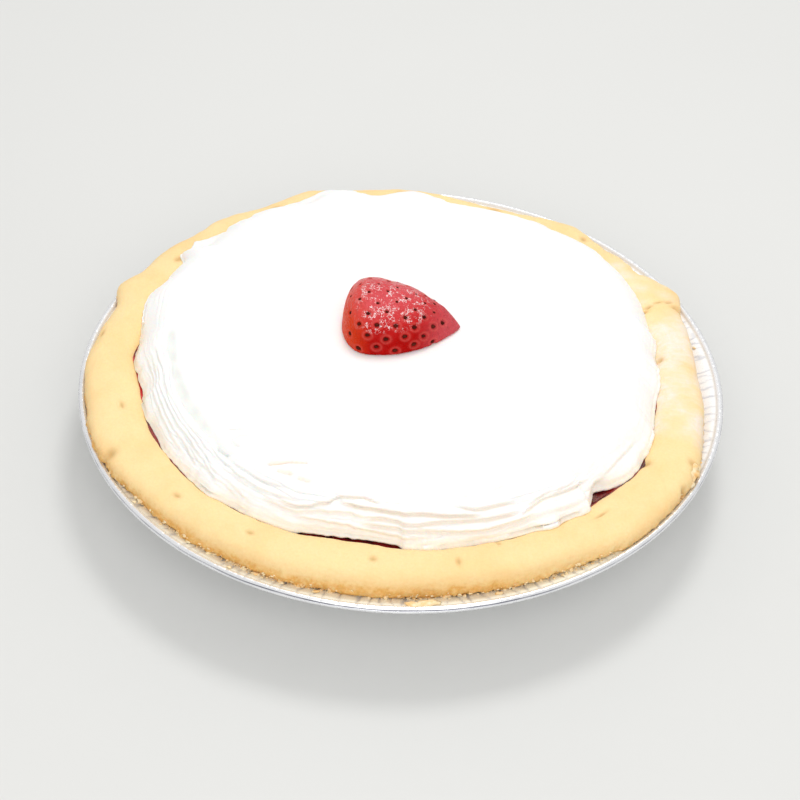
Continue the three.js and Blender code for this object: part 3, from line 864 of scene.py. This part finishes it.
def creamOutline(angle):
    ragged = 0.1 * grain(polar(94, angle), 8.0, 30.0) + 0.25 * grain(polar(94, angle), 2.2, 31.0)
    edge = creamEdge(angle) + creamSpill(angle) + ragged
    bedEnd = creamBed(angle, edge) - 0.1
    edgeHeight = bedEnd + cream["edgeThickness"] + 0.5 - 0.9 * smoothStep(2.5, 6.0, creamSpill(angle))
    shoulder = cream["shoulderRadius"] + 0.85 * creamCalm(angle)
    shoulderHeight = cream["shoulderHeight"]

    # the underside, which lies on the filling and on the crust
    bedStart = cream["edgeRadius"] - 6
    outline = [(0.0, cream["underside"]), (60.0, cream["underside"])]
    for part in (0.0, 0.25, 0.5, 0.75, 0.95):
        radius = bedStart + (edge - 0.8 - bedStart) * part
        outline.append((radius, creamBed(angle, radius)))
    lip = bedEnd - 0.1 + sum(height * arcWindow(angle, start, end, 1.2)
                             for start, end, height in cream["clearings"])
    outline += [(edge - 0.2, lip - 0.4), (edge + 0.1, lip), (edge + 0.15, (lip + edgeHeight) / 2)]
    amounts = [0.0] * len(outline)
    # painted shade: warm brownish under the front of the lip
    shades = [(0.3 * arcWindow(angle, 240, 320, 10), 0.0)] * len(outline)

    # the side; a thin smear beyond the swells joins the thick part lower down
    smear = max(0.0, creamSpill(angle) - 2.0)
    upper = cream["edgeRadius"] + creamCalm(angle) - creamEdge(angle)
    combed = arcWindow(angle, 190, 320, 20)
    # the front, where the painted shade is warm brownish
    warmShade = arcWindow(angle, 246, 320, 10)
    for ring in range(cream["sideRings"] + 1):
        climb = ring / cream["sideRings"]
        foot = edge + upper * smoothStep(0.05, 0.3, climb) - smear * smoothStep(0.0, 0.16, climb)
        radius = foot + (shoulder - foot) * climb
        height = edgeHeight + (shoulderHeight - edgeHeight) * (1 - (1 - climb) ** 1.5)
        outline.append((radius, height))
        relief, deep = sideRelief(angle, climb, radius, height, combed)
        amounts.append(relief - 0.3 - 0.4 * (1 - smoothStep(0.0, 0.12, climb)))
        # painted shade: warm brownish low on the front side and in its comb grooves
        low = 0.35 * (1 - smoothStep(0.0, 0.35, climb)) * combed
        # painted shade: greyish in the grooves and where the relief dips, less so in front
        shade = 0.6 * deep * (1 - warmShade) + max(0.0, -0.45 * relief) * (1 - 0.8 * warmShade)
        shades.append((min(1.0, 1.1 * deep + low) * warmShade, min(1.0, shade)))

    # the top, with close rings near the shoulder, where the strokes are, and wide ones in the middle
    for ring in range(1, cream["topRings"] + 1):
        part = ring / cream["topRings"]
        radius = shoulder * (1 - 0.42 * part - 0.58 * part ** 5)
        lift = 1 - (radius / shoulder) ** 2
        wave = 0.35 * ripple(angle, 2, 50) * radius / shoulder
        height = shoulderHeight + (cream["topHeight"] - shoulderHeight) * (1 - (1 - lift) ** 1.6)
        outline.append((radius, height + wave * lift))
        relief, pressed, warm = topRelief(angle, radius)
        amounts.append(relief - 0.3)
        # painted shade in the strokes' creases: warm brownish in front, greyish elsewhere
        shades.append((min(1.0, 1.4 * pressed * warm), min(1.0, pressed * (1 - warm))))
    amounts[-1] = -0.3
    outline[-1] = (0.0, cream["topHeight"])
    moved = pushOut(outline, amounts)
    return [(radius, height, *shade) for (radius, height), shade in zip(moved, shades)]


def creamMaterial():
    material, tree, surface, place = newMaterial("cream")
    marks = useGroup(tree, mottle, place, Patches=40.0, Speckle=1300.0)
    color = blendColor(tree, spread(tree, marks["Patches"], 0.3, 0.7), cream["color"], cream["light"])
    # painted shade: warm brownish in the front grooves and creases
    warmShade = mathNode(tree, "MULTIPLY", maskOf(tree, "warmShade"), 0.55, True)
    color = blendColor(tree, warmShade, color, cream["shadeTan"])
    # painted shade: greyish in the grooves and hollows
    hollowShade = mathNode(tree, "MULTIPLY", maskOf(tree, "hollowShade"), 0.6, True)
    color = blendColor(tree, hollowShade, color, cream["greyShade"])
    paint(tree, surface, {
        "Base Color": color,
        "Roughness": spread(tree, marks["Speckle"], 0.3, 0.7, 0.42, 0.6),
        "Subsurface Weight": 0.15,
        "Subsurface Scale": 1.5 * mm,
    })
    addBump(tree, surface, marks["Relief"], 0.2, 0.2)
    return material


whippedCream = spunPiece("whippedCream", cream["columns"], creamOutline, ("warmShade", "hollowShade"))
dress(whippedCream, creamMaterial(), "cream", "whipped_cream")


# half a strawberry, cut side down, with its tip towards +X
berry = {
    "length": 42.5,
    "halfWidth": 16.6,
    "height": 17.8,
    "centre": (-0.9, 4.8),
    "rest": 48.4,  # height of its cut face
    "bow": 1.3,  # how far its middle bends to the front
    "rings": 150,
    "columns": 260,
    "red": (0.60, 0.018, 0.018),
    "deepRed": (0.40, 0.002, 0.001),
    "orange": (0.74, 0.060, 0.012),
    # painted sheen colour for the top, also used at the tip
    "sheenPink": (0.78, 0.16, 0.19),
    # painted highlight colour of the glints
    "glints": (1.0, 0.93, 0.93),
    # painted highlight colour for the pit rims
    "rim": (0.72, 0.12, 0.10),
}

# its seeds, each in a pit of its own
seeds = {
    "length": 1.9,
    "width": 1.25,
    "thickness": 0.84,
    "rowPitch": 4.1,
    "pitch": 7.0,
    "pitRadius": 1.55,
    "pitDepth": 0.7,
    "dark": (0.055, 0.007, 0.004),
    "brown": (0.13, 0.02, 0.01),
}


def berryHalfWidth(along):
    blunt = 1 - (1 - min(along / 0.3, 1)) ** 3.0
    taper = max(0.0, (along - 0.25) / 0.75)
    return berry["halfWidth"] * math.sqrt(blunt) * (1 - taper ** 1.9) ** 0.8


def berrySkin(along, turn):
    halfWidth = berryHalfWidth(along)
    side = halfWidth * math.cos(math.radians(turn)) - berry["bow"] * math.sin(math.pi * along)
    up = halfWidth * math.sin(math.radians(turn)) * berry["height"] / berry["halfWidth"]
    return Vector((along * berry["length"], side, up))


def seedPlaces():
    # rows that run from the stalk to the tip, every other one moved half a pitch
    places = []
    rows = math.floor(math.pi * berry["halfWidth"] / seeds["rowPitch"])
    perRow = math.floor(berry["length"] / seeds["pitch"])
    for row in range(rows):
        turn = 180 * (row + 0.5) / rows
        for seed in range(perRow):
            along = (seed + (0.95 if row % 2 else 0.45)) / (perRow + 0.4)
            if along <= 0.8 or row % 4 == 0:
                places.append((along, turn + 3 * math.sin(7 * row + 3 * seed)))
    return places


def seedSize(turn):
    # the seeds on the top and the far side are the smallest
    return 1 - 0.45 * smoothStep(135, 110, turn)


def skinFrame(along, turn):
    # a place on the skin, with the directions to the tip, round the berry and outwards
    here = berrySkin(along, turn)
    lengthwise = (berrySkin(along + 0.01, turn) - here).normalized()
    crosswise = (berrySkin(along, turn + 1) - here).normalized()
    outward = crosswise.cross(lengthwise).normalized()
    return here, lengthwise, outward.cross(lengthwise), outward


def berryPlace():
    # from the berry's own millimetres, stalk end at the origin, to its place on the cream
    left = berry["centre"][0] - berry["length"] / 2
    return Matrix.Scale(mm, 4) @ Matrix.Translation((left, berry["centre"][1], berry["rest"]))


def makeBerryFlesh():
    # the whole berry is spun about its length, pitted, then cut in half lengthwise
    bm = bmesh.new()
    rimLayer = bm.verts.layers.float.new("pitRimHighlight")
    # rings lie closest together at the blunt stalk end
    alongs = [1 - math.cos(math.pi / 2 * ring / berry["rings"]) for ring in range(berry["rings"] + 1)]
    halfWidths = [0.0, *[berryHalfWidth(along) for along in alongs[1:-1]], 0.0]
    drawLine(bm, [(along * berry["length"], halfWidth, 0.0) for along, halfWidth in zip(alongs, halfWidths)])
    spinRound(bm, (1, 0, 0), berry["columns"])
    bmesh.ops.remove_doubles(bm, verts=bm.verts[:], dist=0.002)
    bmesh.ops.scale(bm, vec=(1, 1, berry["height"] / berry["halfWidth"]), verts=bm.verts[:])
    for vert in bm.verts:
        vert.co.y -= berry["bow"] * math.sin(math.pi * vert.co.x / berry["length"])
    bmesh.ops.recalc_face_normals(bm, faces=bm.faces[:])
    bm.normal_update()
    frames = [(*skinFrame(along, turn)[:3], seedSize(turn)) for along, turn in seedPlaces()]
    pitReach = 2 * seeds["pitRadius"]
    for vert in bm.verts:
        press = 0.0
        rim = 0.0
        for here, lengthwise, sideways, size in frames:
            away = vert.co - here
            if away.length > pitReach:
                continue
            reach = math.hypot(away.dot(lengthwise) / 1.1, away.dot(sideways) / 0.95)
            reach /= seeds["pitRadius"] * size
            press = max(press, math.exp(-(reach / 0.72) ** 4) * size)
            rim = max(rim, math.exp(-((reach - 1.0) / 0.28) ** 2))
        lumps = 0.18 * grain(vert.co, 7.0, 61.0) + 0.05 * grain(vert.co, 2.2, 62.0)
        vert[rimLayer] = rim
        vert.co += vert.normal * (lumps + 0.1 * rim - seeds["pitDepth"] * press - 0.28)
    bmesh.ops.bisect_plane(bm, geom=bm.verts[:] + bm.edges[:] + bm.faces[:], dist=0.001,
                           plane_co=(0, 0, 0), plane_no=(0, 0, -1), clear_outer=True)
    bmesh.ops.holes_fill(bm, edges=[edge for edge in bm.edges if edge.is_boundary], sides=0)
    bmesh.ops.transform(bm, matrix=berryPlace(), verts=bm.verts[:])
    bmesh.ops.recalc_face_normals(bm, faces=bm.faces[:])
    return finishMesh("strawberryFlesh", bm)


def makeBerrySeeds():
    # a drop-shaped seed in every pit, blunt towards the stalk and pinched towards the tip
    bm = bmesh.new()
    chance = random.Random(5)
    for along, turn in seedPlaces():
        here, lengthwise, sideways, outward = skinFrame(along, turn)
        size = chance.uniform(0.85, 1.1) * seedSize(turn)
        made = bmesh.ops.create_icosphere(bm, subdivisions=2, radius=1.0)["verts"]
        for vert in made:
            pinch = 1 - 0.35 * vert.co.x
            vert.co.x *= size * seeds["length"] / 2
            vert.co.y *= size * seeds["width"] / 2 * pinch
            vert.co.z *= size * seeds["thickness"] / 2
        turned = Matrix((lengthwise, sideways, outward)).transposed().to_4x4()
        seat = Matrix.Translation(here - outward * (seeds["pitDepth"] * seedSize(turn) + 0.02))
        bmesh.ops.transform(bm, matrix=berryPlace() @ seat @ turned, verts=made)
    return finishMesh("strawberrySeeds", bm)


def glintThreads(tree, place):
    # painted glints: a net of fine broken white threads, painted highlights of the wet skin
    wiggle = addNode(tree, "ShaderNodeTexNoise", Scale=900.0, Detail=2.0)
    link(tree, place, wiggle.inputs["Vector"])
    bent = addNode(tree, "ShaderNodeMix", data_type="VECTOR")
    bent.inputs[0].default_value = 0.003
    link(tree, place, bent.inputs[4])
    link(tree, wiggle.outputs["Color"], bent.inputs[5])
    threads = addNode(tree, "ShaderNodeTexVoronoi", feature="DISTANCE_TO_EDGE", Scale=820.0)
    link(tree, bent.outputs[1], threads.inputs["Vector"])
    thin = spread(tree, threads.outputs["Distance"], 0.01, 0.085, 1.0, 0.0)
    broken = spread(tree, noiseNode(tree, place, 420.0, 3.0, 0.65), 0.50, 0.56)
    return mathNode(tree, "MULTIPLY", thin, broken)


def berryMaterial():
    material, tree, surface, place = newMaterial("strawberry")
    marks = useGroup(tree, mottle, place, Patches=120.0, Speckle=1400.0)
    film = useGroup(tree, wetFilm, place, Cells=1000.0)
    axes = addNode(tree, "ShaderNodeSeparateXYZ")
    link(tree, place, axes.inputs["Vector"])

    def between(axis, low, high, fromOut=0.0, toOut=1.0):
        # a mask that changes between two places on one axis, in millimetres
        return spread(tree, axes.outputs[axis], low * mm, high * mm, fromOut, toOut)

    # red all over, darker low down, orange at the stalk, with a painted sheen on top and a paler tint at the
    # tip
    stalkEnd = between("X", -21, -11, 1.0, 0.0)
    color = blendColor(tree, between("Z", 54, 61, 1.0, 0.0), berry["red"], berry["deepRed"])
    color = blendColor(tree, spread(tree, marks["Patches"], 0.45, 0.7, 0.0, 0.4), color, berry["red"])
    color = blendColor(tree, stalkEnd, color, berry["orange"])
    tip = mathNode(tree, "MULTIPLY", between("X", 4, 18), 0.6)
    # painted sheen: a paler tint on the top, where the wet skin reflects the light, and at the tip
    sheenAndPaleTip = mathNode(tree, "MAXIMUM", between("Z", 58, 63.5, 0.0, 0.4), tip)
    sheenAndPaleTip = mathNode(tree, "MULTIPLY", sheenAndPaleTip, spread(tree, marks["Patches"], 0.25, 0.6, 0.55, 1.0))
    color = blendColor(tree, sheenAndPaleTip, color, berry["sheenPink"])
    # painted highlight: a paler red on the raised rim of each pit
    color = blendColor(tree, mathNode(tree, "MULTIPLY", maskOf(tree, "pitRimHighlight"), 0.38), color, berry["rim"])
    # the painted glints lie on the upper front side alone
    glints = glintThreads(tree, place)
    for limit in (between("Z", 56, 58.5), between("X", -17.5, -14), between("X", 6, 11, 1.0, 0.0),
                  between("Y", 4, 8.5, 1.0, 0.0)):
        glints = mathNode(tree, "MULTIPLY", glints, limit)
    color = blendColor(tree, glints, color, berry["glints"])
    dryStalk = spread(tree, stalkEnd, 0.0, 1.0, 1.0, 0.2)
    paint(tree, surface, {
        "Base Color": color,
        "Roughness": 0.35,
        "Specular IOR Level": 0.04,
        "Coat Weight": mathNode(tree, "MULTIPLY", between("Z", 56.5, 63, 0.0, 0.6), dryStalk),
        "Coat IOR": 1.33,
        "Coat Roughness": 0.07,
    })
    addBump(tree, surface, film["Dimples"], 0.9, 0.6)
    return material


def seedMaterial():
    material, tree, surface, place = newMaterial("seed")
    marks = useGroup(tree, mottle, place, Patches=500.0, Speckle=3000.0)
    color = blendColor(tree, spread(tree, marks["Patches"], 0.4, 0.7), seeds["dark"], seeds["brown"])
    paint(tree, surface, {"Base Color": color, "Roughness": 0.6, "Specular IOR Level": 0.05})
    addBump(tree, surface, marks["Relief"], 0.3, 0.1)
    return material


dress(makeBerryFlesh(), berryMaterial(), "strawberry", "strawberry_half")
dress(makeBerrySeeds(), seedMaterial(), "strawberry", "strawberry_half")


# crumbs and flakes on the flange and on the crust's lower edge
crumbs = {
    "count": 620,
    "small": 0.22,  # half lengths
    "large": 1.0,
    "start": 186.0,
    "end": 344.0,
    "furthest": 112.0,  # radius
    # larger flakes: angle, radius, length, width, thickness, heading
    "flakes": (
        (275.6, 112.0, 6.0, 2.2, 1.0, 8), (273.3, 112.6, 4.4, 1.7, 0.8, -14),
        (276.6, 111.0, 2.4, 1.3, 0.7, 35), (186.5, 112.3, 1.3, 0.5, 0.3, 80),
        (205.0, 112.6, 1.6, 0.8, 0.4, 30), (210.5, 112.4, 1.5, 0.9, 0.4, 60),
        (241.5, 111.6, 1.4, 0.8, 0.5, 20), (219.0, 112.2, 1.2, 0.6, 0.4, 40),
        (232.0, 110.0, 2.2, 0.9, 0.5, 10), (236.5, 109.6, 1.8, 1.0, 0.5, 50),
        (246.0, 109.2, 2.4, 1.1, 0.6, 25), (250.5, 109.0, 2.0, 0.9, 0.5, -20),
        (257.0, 109.4, 2.0, 0.8, 0.5, 15), (288.0, 109.5, 2.2, 0.9, 0.5, -8),
        (16.0, 109.4, 1.6, 0.9, 0.4, 40), (12.5, 109.8, 1.2, 0.8, 0.4, 10),
    ),
    # lumps broken off at the crack: angle, radius, height, length, width, thickness, heading
    "broken": (
        (334.3, 110.9, 33.3, 4.8, 3.2, 2.4, 60), (332.9, 111.6, 32.3, 4.0, 2.6, 2.2, 20),
        (335.0, 112.0, 31.9, 2.8, 2.0, 1.8, 0), (331.7, 112.1, 31.2, 2.8, 1.8, 1.6, 45),
        (330.3, 112.2, 30.8, 2.0, 1.4, 1.3, -30),
    ),
    "pale": (0.94, 0.81, 0.54),
}


def makeCrumbs():
    bm = bmesh.new()
    chance = random.Random(11)

    def addCrumb(place, sizes, heading, tilt):
        made = bmesh.ops.create_icosphere(bm, subdivisions=2, radius=1.0)["verts"]
        offset = chance.uniform(0, 50)
        for vert in made:
            knob = noise.noise(vert.co * 1.1 + Vector((offset, 0, 0)))
            vert.co *= 1 + 0.75 * knob + 0.3 * noise.noise(vert.co * 2.6 + Vector((0, offset, 0)))
            vert.co = Vector((vert.co.x * sizes[0], vert.co.y * sizes[1], vert.co.z * sizes[2]))
        seat = Matrix.Translation(place) @ Matrix.Rotation(math.radians(heading), 4, "Z")
        seat = seat @ Matrix.Rotation(math.radians(tilt), 4, "X")
        bmesh.ops.transform(bm, matrix=Matrix.Scale(mm, 4) @ seat, verts=made)

    def addFlake(angle, radius, height, length, width, thickness, heading, tilt):
        # whole sizes, made a little larger to make up for the hollows
        sizes = (0.6 * length, 0.65 * width, 0.7 * thickness)
        addCrumb(polar(radius, angle, height), sizes, angle + 90 + heading, tilt)

    for number in range(crumbs["count"]):
        angle = chance.uniform(crumbs["start"], crumbs["end"])
        lip = min(crustOuter(angle) - 1.5, crust["lipRadius"])
        # two in three hang on the ragged lower edge of the crust, the others have dropped onto the foil
        hanging = number % 3 > 0
        size = chance.uniform(crumbs["small"], crumbs["large"]) * chance.uniform(0.55, 1.0)
        height = 2.6 * chance.random() ** 1.5 if hanging else 0.25 * size
        climb = min(1.0, height / (crust["widestHeight"] - flangeTop(lip)))
        side = lip + (crustOuter(angle) - lip) * climb ** 0.8 + 0.5 * math.sin(math.pi * climb)
        radius = side + chance.uniform(0.0, 0.4) if hanging else lip + abs(chance.gauss(0.6, 1.1))
        radius = min(radius, crumbs["furthest"])
        spot = polar(radius, angle, flangeTop(radius) + height)
        sizes = (size, size * chance.uniform(0.5, 0.9), size * chance.uniform(0.35, 0.7))
        addCrumb(spot, sizes, chance.uniform(0, 360), chance.uniform(-30, 30))
    for angle, radius, length, width, thickness, heading in crumbs["flakes"]:
        # those furthest out lie on the rolled rim
        bed = max(flangeTop(radius) + 0.3, 29.2 if radius > 111.9 else 0.0)
        addFlake(angle, radius, bed + 0.3 * thickness, length, width, thickness, heading, 8)
    for lump in crumbs["broken"]:
        addFlake(*lump, 15)
    return finishMesh("pastryCrumbs", bm)


def crumbMaterial():
    material, tree, surface, place = newMaterial("crumb")
    marks = useGroup(tree, mottle, place, Patches=420.0, Speckle=2600.0)
    color = blendColor(tree, spread(tree, marks["Patches"], 0.4, 0.65), crumbs["pale"], crust["golden"])
    paint(tree, surface, {"Base Color": color, "Roughness": 0.7})
    addBump(tree, surface, marks["Relief"], 0.5, 0.2)
    return material


dress(makeCrumbs(), crumbMaterial(), "crust")


# a plain floor and soft light; places, sizes and heights here are metres
studio = {
    "floorSize": 4.0,
    "floorHeight": -0.0001,
    "floorColor": (0.72, 0.72, 0.70),
    "skyStrength": 0.74,
    "keyPower": 3.3,
    "keyPlace": (0.12, 0.42, 1.0),
    "keySize": 0.35,
    "fillPower": 4.3,
    "fillPlace": (0.05, -0.85, 0.8),
    "fillSize": 0.9,
    "aim": (0.0, 0.0, 0.03),
    "exposure": 0.0,
}

# the camera, which looks at the target from in front and above
view = {
    "target": (-0.323, -12.93, 28.5),
    "distance": 700.0,
    "elevation": 40.92,
    "roll": 2.209,
    "lens": 88.93,
}


def makeFloor():
    bm = bmesh.new()
    low = Matrix.Translation((0.0, 0.0, studio["floorHeight"]))
    bmesh.ops.create_grid(bm, x_segments=2, y_segments=2, size=studio["floorSize"], matrix=low)
    floor = finishMesh("floor", bm)
    material, tree, surface, place = newMaterial("floor")
    marks = useGroup(tree, mottle, place, Patches=2.0, Speckle=40.0)
    shade = tuple(0.97 * part for part in studio["floorColor"])
    color = blendColor(tree, spread(tree, marks["Patches"], 0.3, 0.7), studio["floorColor"], shade)
    paint(tree, surface, {"Base Color": color, "Roughness": 0.9})
    floor.data.materials.append(material)


def addLight(name, place, size, power):
    data = bpy.data.lights.new(name, "AREA")
    data.shape = "DISK"
    data.size = size
    data.energy = power
    lamp = bpy.data.objects.new(name, data)
    lamp.location = place
    lamp.rotation_euler = (Vector(studio["aim"]) - Vector(place)).to_track_quat("-Z", "Y").to_euler()
    bpy.context.scene.collection.objects.link(lamp)


def makeSky():
    world = bpy.data.worlds.new("studio")
    world.use_nodes = True
    backdrop = world.node_tree.nodes["Background"]
    backdrop.inputs["Color"].default_value = (1.0, 1.0, 1.0, 1.0)
    backdrop.inputs["Strength"].default_value = studio["skyStrength"]
    bpy.context.scene.world = world


def makeCamera():
    slope = math.radians(view["elevation"])
    roll = math.radians(view["roll"])
    ahead = Vector((0, math.cos(slope), -math.sin(slope)))
    right = Vector((1, 0, 0))
    up = right.cross(ahead)
    across = math.cos(roll) * right + math.sin(roll) * up
    upright = math.cos(roll) * up - math.sin(roll) * right
    place = Vector(view["target"]) - view["distance"] * ahead
    data = bpy.data.cameras.new("camera")
    data.lens = view["lens"]
    data.sensor_width = 36.0
    data.clip_start = 0.01
    camera = bpy.data.objects.new("camera", data)
    turned = Matrix((across, upright, -ahead)).transposed().to_4x4()
    camera.matrix_world = Matrix.Translation(place * mm) @ turned
    bpy.context.scene.collection.objects.link(camera)
    bpy.context.scene.camera = camera


makeFloor()
makeSky()
addLight("key", studio["keyPlace"], studio["keySize"], studio["keyPower"])
addLight("fill", studio["fillPlace"], studio["fillSize"], studio["fillPower"])
makeCamera()
bpy.context.scene.view_settings.view_transform = "Standard"
bpy.context.scene.view_settings.exposure = studio["exposure"]
print("stage set")
